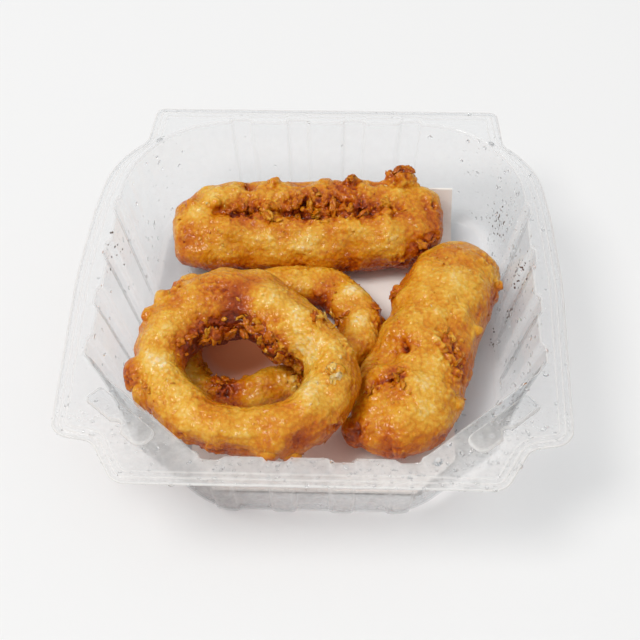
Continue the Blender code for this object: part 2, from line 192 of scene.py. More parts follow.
def rounded(corners, inset=0.0, per_arc=8):
    """Points of a closed clockwise outline with round corners. inset moves every side inwards."""
    places = [Vector((x, y)) for x, y, _ in corners]
    count = len(corners)
    ways = [(places[(i + 1) % count] - places[i]).normalized() for i in range(count)]
    points = []
    for i in range(count):
        before, after = ways[i - 1], ways[i]
        turn = math.atan2(before.cross(after), before.dot(after))
        right_before, right_after = (Vector((way.y, -way.x)) for way in (before, after))
        inside = (right_before + right_after) / (1 + right_before.dot(right_after))
        bend = -1 if turn < 0 else 1
        radius = max(corners[i][2] + bend * inset, 0.0003)
        start = places[i] + inside * inset - before * radius * math.tan(abs(turn) / 2)
        centre = start - right_before * bend * radius
        points += [
            centre + Matrix.Rotation(turn * step / per_arc, 2) @ (start - centre)
            for step in range(per_arc + 1)
        ]
    return points


def whole(corners):
    """A right half's corners with the left half's after them."""
    return corners + tuple((-x, y, radius) for x, y, radius in reversed(corners))


def reach(outline, ways):
    """How far out an outline lies in each direction from the middle of the box."""
    a = np.array([tuple(p) for p in outline])
    b = np.roll(a, -1, axis=0)
    side = np.stack([-ways[:, 1], ways[:, 0]], axis=1)
    off_a, off_b = side @ a.T, side @ b.T
    crossed = off_a * off_b <= 0
    share = np.where(crossed, off_a / np.where(crossed, off_a - off_b, 1.0), 0.0)
    out_a, out_b = ways @ a.T, ways @ b.T
    return np.where(crossed, out_a + share * (out_b - out_a), 0.0).max(axis=1)


def even_ways(outline, count):
    """Directions to points spaced evenly along an outline."""
    a = np.array([tuple(p) for p in outline + outline[:1]])
    run = np.concatenate([[0.0], np.cumsum(np.linalg.norm(np.diff(a, axis=0), axis=1))])
    marks = np.linspace(0.0, run[-1], count, endpoint=False)
    points = np.stack([np.interp(marks, run, a[:, k]) for k in (0, 1)], axis=1)
    return points / np.linalg.norm(points, axis=1)[:, None]


def ease(share):
    """0 to 1 with a gentle start and end."""
    share = np.clip(share, 0.0, 1.0)
    return share * share * (3 - 2 * share)


ways = even_ways(rounded(whole(RIM_CORNERS)), SPOKES)
rim_edge = reach(rounded(whole(RIM_CORNERS)), ways)
wall_tops = reach(rounded(whole(WALL_CORNERS)), ways)
wall_feet = reach(rounded(whole(FLOOR_CORNERS)), ways)
flute_row = [(i - 1.5) * FLUTE_PITCH for i in range(4)]
flute_tops = [(x, WALL_CORNERS[end][1]) for x in flute_row for end in (0, -1)]
flute_tops += [(sign * SIDE_WALL_X, y) for sign in (1, -1) for y in SIDE_FLUTES]
away = np.min([np.linalg.norm(ways * wall_tops[:, None] - top, axis=1) for top in flute_tops], axis=0)
in_flute = ease((FLUTE_HALF + FLUTE_SLOPE - away) / FLUTE_SLOPE)
flute_side = 4 * in_flute * (1 - in_flute)
room_for_rim = np.minimum((rim_edge - wall_tops - FLUTE_DEPTH * in_flute) / RIM_NEEDS, 1.0)


def on_rim(inset, rise, white):
    """The rim's line at an inset from its cut edge and a rise over the rim."""
    inwards = rim_edge - reach(rounded(whole(RIM_CORNERS), inset), ways)
    line = rim_edge - inwards * room_for_rim
    return ways * line[:, None], RIM_HEIGHT + rise, np.full(SPOKES, RIM_MIST + white)


def on_wall(z, flute, out=0.0, height=None, white=0.0):
    """The wall's line at a height: flute is the share of the flutes' depth, out an offset outwards."""
    down = 1 - z / RIM_HEIGHT
    line = wall_tops + (wall_feet - wall_tops) * down + FLUTE_DEPTH * flute * in_flute + out
    return ways * line[:, None], z if height is None else height, white + FLUTE_HIGHLIGHT * flute_side * flute


lines = [on_rim(inset / 1000, rise / 1000, white) for inset, rise, white in RIM_PROFILE]
# The shoulder and the foot bends carry painted highlights, strongest half way round each bend.
for step in range(BEND_STEPS + 1):
    turn = math.pi / 2 * step / BEND_STEPS
    drop, back = SHOULDER_RADIUS * (1 - math.cos(turn)), SHOULDER_RADIUS * (1 - math.sin(turn))
    flute, pale = FLUTE_AT_RIM + (1 - FLUTE_AT_RIM) * step / BEND_STEPS, SHOULDER_HIGHLIGHT * math.sin(2 * turn)
    lines.append(on_wall(RIM_HEIGHT, flute, back * room_for_rim, RIM_HEIGHT - drop, pale))
shoulder_end, foot_start = RIM_HEIGHT - SHOULDER_RADIUS, FLOOR_TOP + FOOT_RADIUS
for step in range(1, WALL_STEPS + 1):
    lines.append(on_wall(shoulder_end + (foot_start - shoulder_end) * step / WALL_STEPS, 1.0))
for step in range(1, BEND_STEPS + 1):
    turn = math.pi / 2 * step / BEND_STEPS
    drop, inward = FOOT_RADIUS * math.sin(turn), FOOT_INWARD * (1 - math.cos(turn))
    flute, pale = 1 + (FLUTE_AT_FLOOR - 1) * step / BEND_STEPS, FOOT_HIGHLIGHT * math.sin(2 * turn)
    lines.append(on_wall(foot_start, flute, -inward, foot_start - drop, pale))
lines += [(lines[-1][0] * share, FLOOR_TOP, np.zeros(SPOKES)) for share in FLOOR_RINGS]

sheet = bmesh.new()
highlight_mist_layer = sheet.verts.layers.float.new("painted_highlight_and_mist")
ring = [sheet.verts.new((*point, lines[0][1])) for point in lines[0][0]]
edges = [sheet.edges.new((a, b)) for a, b in zip(ring, ring[1:] + ring[:1])]
for points, z, white in lines[1:]:
    grown = bmesh.ops.extrude_edge_only(sheet, edges=edges)["geom"]
    fresh = {item for item in grown if isinstance(item, bmesh.types.BMVert)}
    edges = [item for item in grown if isinstance(item, bmesh.types.BMEdge)]
    edges = [edge for edge in edges if edge.verts[0] in fresh and edge.verts[1] in fresh]
    following = []
    for old, point, pale in zip(ring, points, white):
        new = next(e.other_vert(old) for e in old.link_edges if e.other_vert(old) in fresh)
        new.co = (*point, z)
        new[highlight_mist_layer] = pale
        following.append(new)
    ring = following
sheet.faces.new(ring)


def corner_order(item):
    """A number to sort the sheet's edges and faces by. The extrusion leaves them in no fixed order."""
    corners = [vert.index for vert in item.verts]
    return max(corners) * len(sheet.verts) + min(corners)


sheet.verts.index_update()
sheet.edges.sort(key=corner_order)
sheet.faces.sort(key=corner_order)
bmesh.ops.recalc_face_normals(sheet, faces=sheet.faces)
floor_face = min(sheet.faces, key=lambda face: face.calc_center_median().length)
if floor_face.normal.z < 0:
    bmesh.ops.reverse_faces(sheet, faces=sheet.faces)
sheet_surface = BVHTree.FromBMesh(sheet)
sheet_patches = [
    ([vert.co.copy() for vert in face.verts], face.normal.copy(), face.calc_area())
    for face in sheet.faces
    if len(face.verts) == 4
]

# Clear PET: an amorphous plastic with a glossy, slightly wavy drawn surface. It hardly tints what is
# behind it and goes grey where it is seen edge-on. Painted highlights whiten it in lines along its bends,
# its bead and the flutes' sides. Steam from the food has left a faint mist on it. Its waves are about
# 14 mm apart and the mist's clouds 4 mm.
SHEET_WAVES, MIST_CLOUDS = 70.0, 260.0  # to the metre
clear_pet, tree, shader = start_material("clear thermoformed PET sheet")
tree.nodes.remove(shader)
where = add(tree, "ShaderNodeTexCoord").outputs["Object"]
waves = add(tree, "ShaderNodeTexNoise", Vector=where, Scale=SHEET_WAVES, Detail=3.0, Roughness=0.6)
drawn = add(tree, "ShaderNodeBump", Height=waves.outputs["Fac"], Strength=0.18, Distance=0.0006)
facing = add(tree, "ShaderNodeLayerWeight", Blend=0.5, Normal=drawn.outputs["Normal"])
tinted = add(tree, "ShaderNodeValToRGB", Fac=facing.outputs["Facing"])
tinted.color_ramp.elements[0].color = colour("F9FAFB")
tinted.color_ramp.elements[0].position = 0.50
tinted.color_ramp.elements[1].color = colour("F1F4F6")
height = add(tree, "ShaderNodeSeparateXYZ", Vector=where)
# The mist lies on the rim and the walls, thickest at the front. The floor, which the pad and the food
# keep dry, stays clear.
steamed = add(tree, "ShaderNodeMapRange", Value=height.outputs["Z"], _1=0.002, _2=0.007)
blocked = add(
    tree, "ShaderNodeMix", {"data_type": "RGBA"},
    Factor=steamed.outputs[0], _6=colour("F6F7F8"), _7=colour("C2C4C5"),
)
ray = add(tree, "ShaderNodeLightPath")
dimmed = add(
    tree, "ShaderNodeMix", {"data_type": "RGBA"},
    Factor=ray.outputs["Is Shadow Ray"], _6=tinted.outputs["Color"], _7=blocked.outputs[2],
)
through = add(tree, "ShaderNodeBsdfTransparent", Color=dimmed.outputs[2])
shine = add(tree, "ShaderNodeBsdfGlossy", Roughness=0.10, Normal=drawn.outputs["Normal"])
mirror = add(tree, "ShaderNodeFresnel", IOR=1.33, Normal=drawn.outputs["Normal"])
clear = add(
    tree, "ShaderNodeMixShader",
    Fac=mirror.outputs["Fac"], _1=through.outputs["BSDF"], _2=shine.outputs["BSDF"],
)
milk = add(tree, "ShaderNodeBsdfDiffuse", Color=colour("F8F6F4"))
glow = add(tree, "ShaderNodeBsdfTranslucent", Color=colour("F8F6F4"))
mist = add(tree, "ShaderNodeMixShader", Fac=0.45, _1=milk.outputs["BSDF"], _2=glow.outputs["BSDF"])
# Painted highlights: white lines along the rim's edge and bead, the wall's bends and the flutes' sides,
# held in one attribute with the rim's faint mist.
highlight_mist = add(tree, "ShaderNodeAttribute", {"attribute_name": "painted_highlight_and_mist"}).outputs["Fac"]
clouds = add(tree, "ShaderNodeTexNoise", Vector=where, Scale=MIST_CLOUDS, Detail=4.0, Roughness=0.6)
misty = add(tree, "ShaderNodeMapRange", Value=clouds.outputs["Fac"], _1=0.3, _2=0.7, _3=0.05, _4=0.10)
nearer = add(tree, "ShaderNodeMapRange", Value=height.outputs["Y"], _1=-0.045, _2=-0.062, _3=0.0, _4=4.2)
extra = add(tree, "ShaderNodeMath", {"operation": "ADD"}, _0=nearer.outputs[0], _1=1.0)
thicker = add(tree, "ShaderNodeMath", {"operation": "MULTIPLY"}, _0=misty.outputs[0], _1=extra.outputs[0])
settled = add(
    tree, "ShaderNodeMath", {"operation": "MULTIPLY"},
    _0=thicker.outputs[0], _1=steamed.outputs[0],
)
haze_and_highlight = add(tree, "ShaderNodeMath", {"operation": "ADD"}, _0=highlight_mist, _1=settled.outputs[0])
milky = add(
    tree, "ShaderNodeMixShader",
    Fac=haze_and_highlight.outputs[0], _1=clear.outputs["Shader"], _2=mist.outputs["Shader"],
)
# The far side of the sheet is left fully clear, so that a look through it meets one surface. Mist
# scatters light on rather than stopping it, so it casts no shadow of its own.
other_side = add(tree, "ShaderNodeNewGeometry").outputs["Backfacing"]
nothing = add(tree, "ShaderNodeBsdfTransparent", Color=colour("FFFFFF"))
cast = add(
    tree, "ShaderNodeMixShader",
    Fac=ray.outputs["Is Shadow Ray"], _1=milky.outputs["Shader"], _2=through.outputs["BSDF"],
)
one_side = add(
    tree, "ShaderNodeMixShader",
    Fac=other_side, _1=cast.outputs["Shader"], _2=nothing.outputs["BSDF"],
)
join(tree, tree.nodes["Material Output"], Surface=one_side.outputs["Shader"])

base = piece_from(sheet, "box_base", clear_pet)
thick = base.modifiers.new("sheet", "SOLIDIFY")
thick.thickness, thick.offset, thick.use_even_offset = SHEET, -1.0, False
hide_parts("tray")
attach(base, "root")

# The catches: a raised boss on each front corner of the rim, pressed out of the same sheet. The lid's
# corners would snap over them.
CATCH_CORNERS = (
    (0.0000, 0.0000, 0.0030),
    (0.0250, 0.0000, 0.0015),
    (0.0250, -0.0066, 0.0015),
    (0.0135, -0.0066, 0.0012),
    (0.0108, -0.0046, 0.0012),
    (0.0085, -0.0076, 0.0012),
    (0.0000, -0.0076, 0.0034),
)
CATCH_PLACE, CATCH_TURN, CATCH_HEIGHT, CATCH_SHEET = (0.0435, -0.0595), math.radians(42.4), 0.0012, 0.0003
# From its foot inwards: inset in mm, share of the height, and how much painted highlight whitens the
# sheet, in bright lines round the boss
CATCH_PROFILE = (
    (0.0, 0.04, 0.30), (0.12, 0.35, 0.75), (0.3, 0.75, 0.55), (0.6, 0.97, 0.20), (0.9, 1.0, 0.0),
)

for side, sign in (("right", 1), ("left", -1)):
    boss = bmesh.new()
    highlight_mist_layer = boss.verts.layers.float.new("painted_highlight_and_mist")
    ring = edges = None
    for inset, rise, white in CATCH_PROFILE:
        flat = [
            Matrix.Rotation(CATCH_TURN, 2) @ point + Vector(CATCH_PLACE)
            for point in rounded(CATCH_CORNERS, inset / 1000, 6)
        ]
        new = [boss.verts.new((sign * p.x, p.y, RIM_HEIGHT + CATCH_HEIGHT * rise)) for p in flat]
        for vert in new:
            vert[highlight_mist_layer] = white
        new_edges = [boss.edges.new((a, b)) for a, b in zip(new, new[1:] + new[:1])]
        if ring:
            bmesh.ops.bridge_loops(boss, edges=edges + new_edges)
        ring, edges = new, new_edges
    boss.faces.new(ring)
    bmesh.ops.recalc_face_normals(boss, faces=boss.faces)
    if max(boss.faces, key=lambda face: face.calc_center_median().z).normal.z < 0:
        bmesh.ops.reverse_faces(boss, faces=boss.faces)
    catch = piece_from(boss, "catch_" + side, clear_pet)
    thick = catch.modifiers.new("sheet", "SOLIDIFY")
    thick.thickness, thick.offset = CATCH_SHEET, -1.0
    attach(catch, "root")

# The droplets: steam from the hot food has beaded on the sheet, most of all on the front of the rim and
# on the walls. Small dark brown specks lie on the walls beside them.
DROP_COUNT, DROP_SMALLEST, DROP_GROWTH, DROP_FLATNESS, DROP_STRETCH = 2600, 0.00014, 0.00070, 0.65, 1.35
SPECK_RADII = (0.00014, 0.00042)
# How wet each stretch of the sheet is, and where the stretches meet
WET_FLOOR_FRONT, WET_FLOOR, WET_RIM_RIGHT, WET_RIM = 0.5, 0.1, 0.6, 0.15
WET_RIM_FRONT, WET_RIM_LEFT_CORNER, WET_FRONT_WALL = 3.2, 1.2, 2.0
WET_RIGHT_WALL, WET_LEFT_WALL, WET_BACK_WALL = 1.2, 0.5, 0.05
FLOOR_BELOW, RIM_ABOVE, FLAT_ENOUGH, RIM_FRONT_Y, FRONT_WALL_Y = 0.004, 0.035, 0.8, -0.045, -0.050
LEFT_CORNER_X, RIM_RIGHT_X, SIDE_WALLS_X = -0.035, 0.05, 0.045
# The large beads, each a pixel of the photograph and a radius in mm
BIG_DROPS = (
    (438, 462, 1.45), (449, 445, 0.90), (524, 384, 0.85), (546, 375, 0.80), (492, 436, 0.90),
    (531, 338, 0.80), (346, 468, 0.90), (306, 472, 0.70), (228, 470, 0.60), (268, 478, 0.75),
    (383, 471, 0.60), (409, 478, 0.65), (470, 452, 0.70), (505, 428, 0.60), (190, 462, 0.60),
    (158, 448, 0.60), (143, 436, 0.50), (517, 408, 0.55),
)
# Where the dark specks lie: a pixel, how far the specks spread in pixels, and how many there are
SPECK_SPOTS = (
    (497, 222, 9, 40), (520, 270, 9, 28), (510, 313, 4, 12), (493, 340, 5, 9), (118, 250, 9, 14),
)
RIPPLES, SPECK_PATCHES = 900.0, 700.0  # to the metre

water, tree, shader = start_material("condensed water")
join(tree, shader, Base_Color=colour("FFFFFF"), Roughness=0.02, IOR=1.33, Transmission_Weight=1.0)
where = add(tree, "ShaderNodeTexCoord").outputs["Object"]
ripple = add(tree, "ShaderNodeTexNoise", Vector=where, Scale=RIPPLES)
uneven = add(tree, "ShaderNodeBump", Height=ripple.outputs["Fac"], Strength=0.15, Distance=0.0001)
join(tree, shader, Normal=uneven.outputs["Normal"])
ray = add(tree, "ShaderNodeLightPath")
passing = add(tree, "ShaderNodeBsdfTransparent", Color=colour("DCDEE0"))
thin = add(tree, "ShaderNodeBsdfTransparent", Color=colour("FFFFFF"))
faint = add(tree, "ShaderNodeMixShader", Fac=0.50, _1=shader.outputs["BSDF"], _2=thin.outputs["BSDF"])
lit = add(
    tree, "ShaderNodeMixShader",
    Fac=ray.outputs["Is Shadow Ray"], _1=faint.outputs["Shader"], _2=passing.outputs["BSDF"],
)
join(tree, tree.nodes["Material Output"], Surface=lit.outputs["Shader"])
clear_water = water.copy()
clear_water.name = "condensed water in large beads"
clear_water.node_tree.nodes[faint.name].inputs["Fac"].default_value = 0.10

# Small dark brown specks on the walls, darker and lighter in patches.
dark_speck_material, tree, shader = start_material("dark brown specks")
where = add(tree, "ShaderNodeTexCoord").outputs["Object"]
patchy = add(tree, "ShaderNodeTexNoise", Vector=where, Scale=SPECK_PATCHES)
speck_tone = add(tree, "ShaderNodeValToRGB", Fac=patchy.outputs["Fac"])
speck_tone.color_ramp.elements[0].color = colour("3A2013")
speck_tone.color_ramp.elements[1].color = colour("5E3F2A")
join(tree, shader, Base_Color=speck_tone.outputs["Color"], Roughness=0.2)


def ball(subdivisions, cut_at=None):
    """A mesh ball of radius 1, of which beads and crumbs are shaped copies. Cut at a height, it is a
    dome with a flat foot."""
    shape = bmesh.new()
    bmesh.ops.create_icosphere(shape, subdivisions=subdivisions, radius=1.0)
    if cut_at is not None:
        whole_ball = shape.verts[:] + shape.edges[:] + shape.faces[:]
        bmesh.ops.bisect_plane(
            shape, geom=whole_ball, plane_co=(0, 0, cut_at), plane_no=(0, 0, 1), clear_inner=True,
        )
        bmesh.ops.holes_fill(shape, edges=[edge for edge in shape.edges if edge.is_boundary])
        bmesh.ops.translate(shape, verts=shape.verts, vec=(0, 0, -cut_at))
    shape.verts.layers.float.new("browning_and_shade")
    made = bpy.data.meshes.new("ball")
    shape.to_mesh(made)
    shape.free()
    return made


bead_ball = ball(2, 0.15)


def add_drop(shape, place, out, radius, dice):
    """A bead that sits on the sheet, longer one way than the other."""
    long = dice.uniform(1.0, DROP_STRETCH)
    turn = out.to_track_quat("Z", "Y").to_matrix() @ Matrix.Rotation(dice.uniform(0, math.pi), 3, "Z")
    size = Matrix.Diagonal((radius * long, radius / long, radius * DROP_FLATNESS, 1))
    bead = bead_ball.copy()
    bead.transform(Matrix.Translation(place) @ turn.to_4x4() @ size)
    shape.from_mesh(bead)
    bpy.data.meshes.remove(bead)


def wetness(place, out):
    """How many droplets a place on the sheet carries, against its area."""
    if place.z < FLOOR_BELOW:
        return WET_FLOOR_FRONT if place.y < RIM_FRONT_Y else WET_FLOOR
    if out.z > FLAT_ENOUGH and place.z > RIM_ABOVE:
        if place.y > RIM_FRONT_Y:
            return WET_RIM_RIGHT if place.x > RIM_RIGHT_X else WET_RIM
        return WET_RIM_FRONT if place.x > LEFT_CORNER_X else WET_RIM_LEFT_CORNER
    if place.y < FRONT_WALL_Y:
        return WET_FRONT_WALL
    if abs(place.x) > SIDE_WALLS_X:
        return WET_RIGHT_WALL if place.x > 0 else WET_LEFT_WALL
    return WET_BACK_WALL


dice = random.Random(11)
beads = bmesh.new()
weights = [area * wetness(sum(ends, Vector()) / 4, out) for ends, out, area in sheet_patches]
for ends, out, area in dice.choices(sheet_patches, weights, k=DROP_COUNT):
    u, v = dice.random(), dice.random()
    place = ends[0].lerp(ends[1], u).lerp(ends[3].lerp(ends[2], u), v)
    add_drop(beads, place, out, DROP_SMALLEST + DROP_GROWTH * dice.random() ** 3, dice)
droplets = piece_from(beads, "droplets", water)
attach(droplets, "root")

beads = bmesh.new()
for px, py, radius in BIG_DROPS:
    place, out = sheet_surface.ray_cast(CAMERA_PLACE, sight_line(px, py))[:2]
    add_drop(beads, place, out, radius / 1000, dice)
large_beads = piece_from(beads, "large_beads", clear_water)
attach(large_beads, "root")

speck_shape = bmesh.new()
for px, py, spread, count in SPECK_SPOTS:
    for _ in range(count):
        there = sight_line(px + dice.gauss(0, spread / 2), py + dice.gauss(0, spread))
        place, out = sheet_surface.ray_cast(CAMERA_PLACE, there)[:2]
        add_drop(speck_shape, place, out, dice.uniform(*SPECK_RADII), dice)
specks = piece_from(speck_shape, "dark_specks", dark_speck_material)
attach(specks, "root")

# The pad: white absorbent paper on the floor of the box, whose back end stands up against the wall.
# Its fibres make a faint cloudy relief. Between the rings it is stained orange-brown, partly by oil
# taken up by the paper and partly as painted shade and warm light thrown onto it by the fried batter.
PAD_CLOUD, PAD_FIBRE = 0.0040, 0.0004
OIL_AND_BOUNCE_LIGHT_TINT = "F48C4A"
# For each of the stains: its middle on the pad, its reach in m and how strong it is. Both are partly
# oil and partly painted shade with warm bounced light.
OIL_AND_SHADE_STAINS = (((-0.0265, 0.0030, 0.002), 0.022, 0.92), ((0.0040, -0.0385, 0.002), 0.014, 0.30))

pad_paper, tree, shader = start_material("white absorbent paper pad")
where = add(tree, "ShaderNodeTexCoord").outputs["Object"]
cloud = add(tree, "ShaderNodeTexNoise", Vector=where, Scale=1 / PAD_CLOUD, Detail=3.0)
fibre = add(tree, "ShaderNodeTexNoise", Vector=where, Scale=1 / PAD_FIBRE, Detail=2.0)
tint = add(tree, "ShaderNodeValToRGB", Fac=cloud.outputs["Fac"])
tint.color_ramp.elements[0].color = colour("FAF2EA")
tint.color_ramp.elements[1].color = colour("FFFAF4")
paper = tint.outputs["Color"]
# The stains mix the oil's colour with painted shade and warm bounced light into the paper.
for middle, reach_out, strength in OIL_AND_SHADE_STAINS:
    off = add(tree, "ShaderNodeVectorMath", {"operation": "DISTANCE"}, _0=where, _1=middle)
    oil_and_shade_share = add(
        tree, "ShaderNodeMapRange", {"interpolation_type": "SMOOTHSTEP"},
        Value=off.outputs["Value"], _1=reach_out, _2=reach_out * 0.4, _3=0.0, _4=strength,
    )
    stained_and_shaded = add(
        tree, "ShaderNodeMix", {"data_type": "RGBA"},
        Factor=oil_and_shade_share.outputs[0], _6=paper, _7=colour(OIL_AND_BOUNCE_LIGHT_TINT),
    )
    paper = stained_and_shaded.outputs[2]
rough = add(tree, "ShaderNodeBump", Height=fibre.outputs["Fac"], Strength=0.35, Distance=0.0001)
soft = add(
    tree, "ShaderNodeBump",
    Height=cloud.outputs["Fac"], Normal=rough.outputs["Normal"], Strength=0.3, Distance=0.0003,
)
join(tree, shader, Base_Color=paper, Normal=soft.outputs["Normal"], Roughness=0.85)
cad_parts["pad"].material_slots[0].material = pad_paper

# The food: squid rings in a thick yeast batter, fried until golden. The batter has swollen into smooth
# pale lumps, which are divided by browner crumbly bands, and it is browner in its crags. Painted shade
# darkens it too: in its hollows and furrows, on its sides and undersides, and where it shades itself.
VOXEL, SMOOTHING = 0.00037, 8
# The layers of its relief, each with the size of its features and their height
SWELLING, SWELLING_HEIGHT = 0.0068, 0.00105
PEBBLE, PEBBLE_HEIGHT = 0.0024, 0.00058
KNOB, KNOB_HEIGHT = 0.0013, 0.00018
GRIT, GRIT_HEIGHT = 0.0012, 0.00016
CRAG_SIZE, CRAG_HEIGHT = 0.0026, 0.00170
STAND_OUT = 0.00012  # the whole crust lies this far out, because smoothing draws it in
CRUMBLY_BAND, FURROW_PATCH, BROWN_PATCH, FURROW_STEPS = 0.0085, 0.0030, 0.0100, 8
LIGHT_RAYS, LIGHT_REACH, LIGHT_START = 8, 0.030, 0.0012
# What browns the crust, from 0 for pale to 1 for burnt, with painted shade in it: hollows, furrows,
# sides and undersides and the places that the food itself shades are painted browner. The swellings
# stay paler than the rest.
GOLDEN, PATCHES_BROWN, SWELLINGS_PALE, CRUMBS_BROWN, CRAGS_BROWN = 0.31, 0.05, 0.12, 0.10, 0.10
HOLLOWS_PAINTED_SHADE, DEEP_HOLLOW, FURROWS_PAINTED_SHADE, DEEP_FURROW = 0.17, 0.0004, 0.04, 0.0012
PAINTED_SHADE_BROWN, SIDES_PAINTED_SHADE, BROWNEST = 0.20, 0.24, 0.86


def field(points, size, shift):
    """Smooth noise at the points, about -1 to 1, with features of the given size."""
    return np.array([noise.noise(Vector(p)) for p in points / size + shift])


def layered(points, size, shift):
    """Noise with two finer layers on it."""
    return np.array([noise.fractal(Vector(p), 0.8, 2.1, 3) for p in points / size + shift])


def pebbles(points, size, shift):
    """Rounded humps of uneven height, one to a cell of the given size."""
    heights = np.empty(len(points))
    for k, p in enumerate(points / size + shift):
        away, centres = noise.voronoi(Vector(p))
        hump = 1.0 - min(away[0] * 1.15, 1.0) ** 2
        heights[k] = hump * (0.55 + 0.45 * noise.noise(centres[0] * 3.7))
    return heights


def blurred(values, pairs, times):
    """Values averaged with their neighbours along the mesh's edges, over and over."""
    count = np.bincount(pairs.ravel(), minlength=len(values)) + 1
    for _ in range(times):
        total = values.copy()
        total += np.bincount(pairs[:, 0], values[pairs[:, 1]], len(values))
        total += np.bincount(pairs[:, 1], values[pairs[:, 0]], len(values))
        values = total / count
    return values


def near_lines(points, furrows, surface):
    """How deep each point lies in the furrows, in m."""
    total = np.zeros(len(points))
    for radius, depth, *corners in furrows:
        nearest = np.full(len(points), 1.0)
        for (ax, ay), (bx, by) in zip(corners, corners[1:]):
            for step in range(FURROW_STEPS + 1):
                pixel = ax + (bx - ax) * step / FURROW_STEPS, ay + (by - ay) * step / FURROW_STEPS
                place = surface.ray_cast(CAMERA_PLACE, sight_line(*pixel))[0]
                if place:
                    nearest = np.minimum(nearest, np.linalg.norm(points - np.array(place), axis=1))
        total += depth / 1000 * np.exp(-((nearest / (radius / 1000)) ** 2))
    return total


def near_spots(points, spots, surface):
    """What the marks amount to at each point, fading away from them."""
    total = np.zeros(len(points))
    for px, py, radius, amount in spots:
        place = surface.ray_cast(CAMERA_PLACE, sight_line(px, py))[0]
        if place:
            off = np.linalg.norm(points - np.array(place), axis=1) / (radius / 1000)
            total += amount * np.exp(-off * off)
    return total


# Fried batter: a porous starchy crust with a film of oil. Light enters it a little, which makes the
# pale parts glow, and the oil gives it many small glints.
MOTTLE_SIZE, SPECKLE_SIZE, BLISTER_SIZE, PORE_SIZE, FILM_WAVE = 0.0030, 0.0010, 0.0013, 0.0007, 0.0026
BATTER_COLOURS = (
    (0.00, "F7DDB0"),
    (0.10, "F2CA72"),
    (0.20, "EBB33E"),
    (0.34, "DE9219"),
    (0.50, "CC6E08"),
    (0.66, "B04C05"),
    (0.82, "862E05"),
    (1.00, "481302"),
)
fried_batter, tree, shader = start_material("golden fried batter")
where = add(tree, "ShaderNodeTexCoord").outputs["Object"]
# This attribute holds the crust's browning with painted shade in it, which the ramp turns into colour.
browning_and_shade = add(tree, "ShaderNodeAttribute", {"attribute_name": "browning_and_shade"}).outputs["Fac"]
mottle = add(
    tree, "ShaderNodeTexNoise",
    Vector=where, Scale=1 / MOTTLE_SIZE, Detail=4.0, Roughness=0.65, Distortion=0.8,
)
speckle = add(
    tree, "ShaderNodeTexNoise",
    Vector=where, Scale=1 / SPECKLE_SIZE, Detail=3.0, Roughness=0.7, Distortion=0.5,
)
shift = add(tree, "ShaderNodeMapRange", Value=mottle.outputs["Fac"], _1=0.25, _2=0.75, _3=-0.06, _4=0.06)
bent = add(tree, "ShaderNodeVectorMath", {"operation": "SCALE"}, _0=speckle.outputs["Color"], Scale=0.0016)
warped = add(tree, "ShaderNodeVectorMath", {"operation": "ADD"}, _0=where, _1=bent.outputs["Vector"])
blisters = add(tree, "ShaderNodeTexVoronoi", Vector=warped.outputs["Vector"], Scale=1 / BLISTER_SIZE)
dots = add(
    tree, "ShaderNodeMapRange",
    Value=blisters.outputs["Distance"], _1=0.15, _2=0.75, _3=-0.05, _4=0.07,
)
some = add(tree, "ShaderNodeMath", {"operation": "ADD"}, _0=browning_and_shade, _1=shift.outputs[0])
doneness_and_shade = add(tree, "ShaderNodeMath", {"operation": "ADD"}, _0=some.outputs[0], _1=dots.outputs[0])
crust = add(tree, "ShaderNodeValToRGB", Fac=doneness_and_shade.outputs[0])
stops = crust.color_ramp.elements
for position, _ in BATTER_COLOURS[1:-1]:
    stops.new(position)
for stop, (_, tone) in zip(stops, BATTER_COLOURS):
    stop.color = colour(tone)
pores = add(tree, "ShaderNodeTexNoise", Vector=where, Scale=1 / PORE_SIZE, Detail=3.0, Roughness=0.7)
crisp = add(tree, "ShaderNodeBump", Height=pores.outputs["Fac"], Strength=1.0, Distance=0.00014)
blistered = add(
    tree, "ShaderNodeBump", {"invert": True},
    Height=blisters.outputs["Distance"], Normal=crisp.outputs["Normal"], Strength=0.8, Distance=0.00050,
)
# The film of oil fills the pores and runs over the blisters in soft waves, so it glints here and there
pooled = add(tree, "ShaderNodeTexNoise", Vector=where, Scale=1 / FILM_WAVE, Detail=1.8, Roughness=0.5)
film = add(tree, "ShaderNodeBump", Height=pooled.outputs["Fac"], Strength=1.0, Distance=0.00160)
oily = add(tree, "ShaderNodeMapRange", Value=mottle.outputs["Fac"], _1=0.3, _2=0.7, _3=0.20, _4=0.42)
join(
    tree, shader,
    Base_Color=crust.outputs["Color"], Normal=blistered.outputs["Normal"], Roughness=oily.outputs[0],
    IOR=1.47, Specular_IOR_Level=0.05,
    Subsurface_Weight=0.45, Subsurface_Radius=(1.0, 0.40, 0.10), Subsurface_Scale=0.0014,
    Coat_Normal=film.outputs["Normal"], Coat_Weight=0.62, Coat_Roughness=0.13,
)

# Crisp flakes: the same batter in thin dry shards, which are fried through, so light hardly enters them.
crisp_batter = fried_batter.copy()
crisp_batter.name = "crisp fried batter flakes"
crisp_batter.node_tree.nodes["Principled BSDF"].inputs["Subsurface Weight"].default_value = 0.05
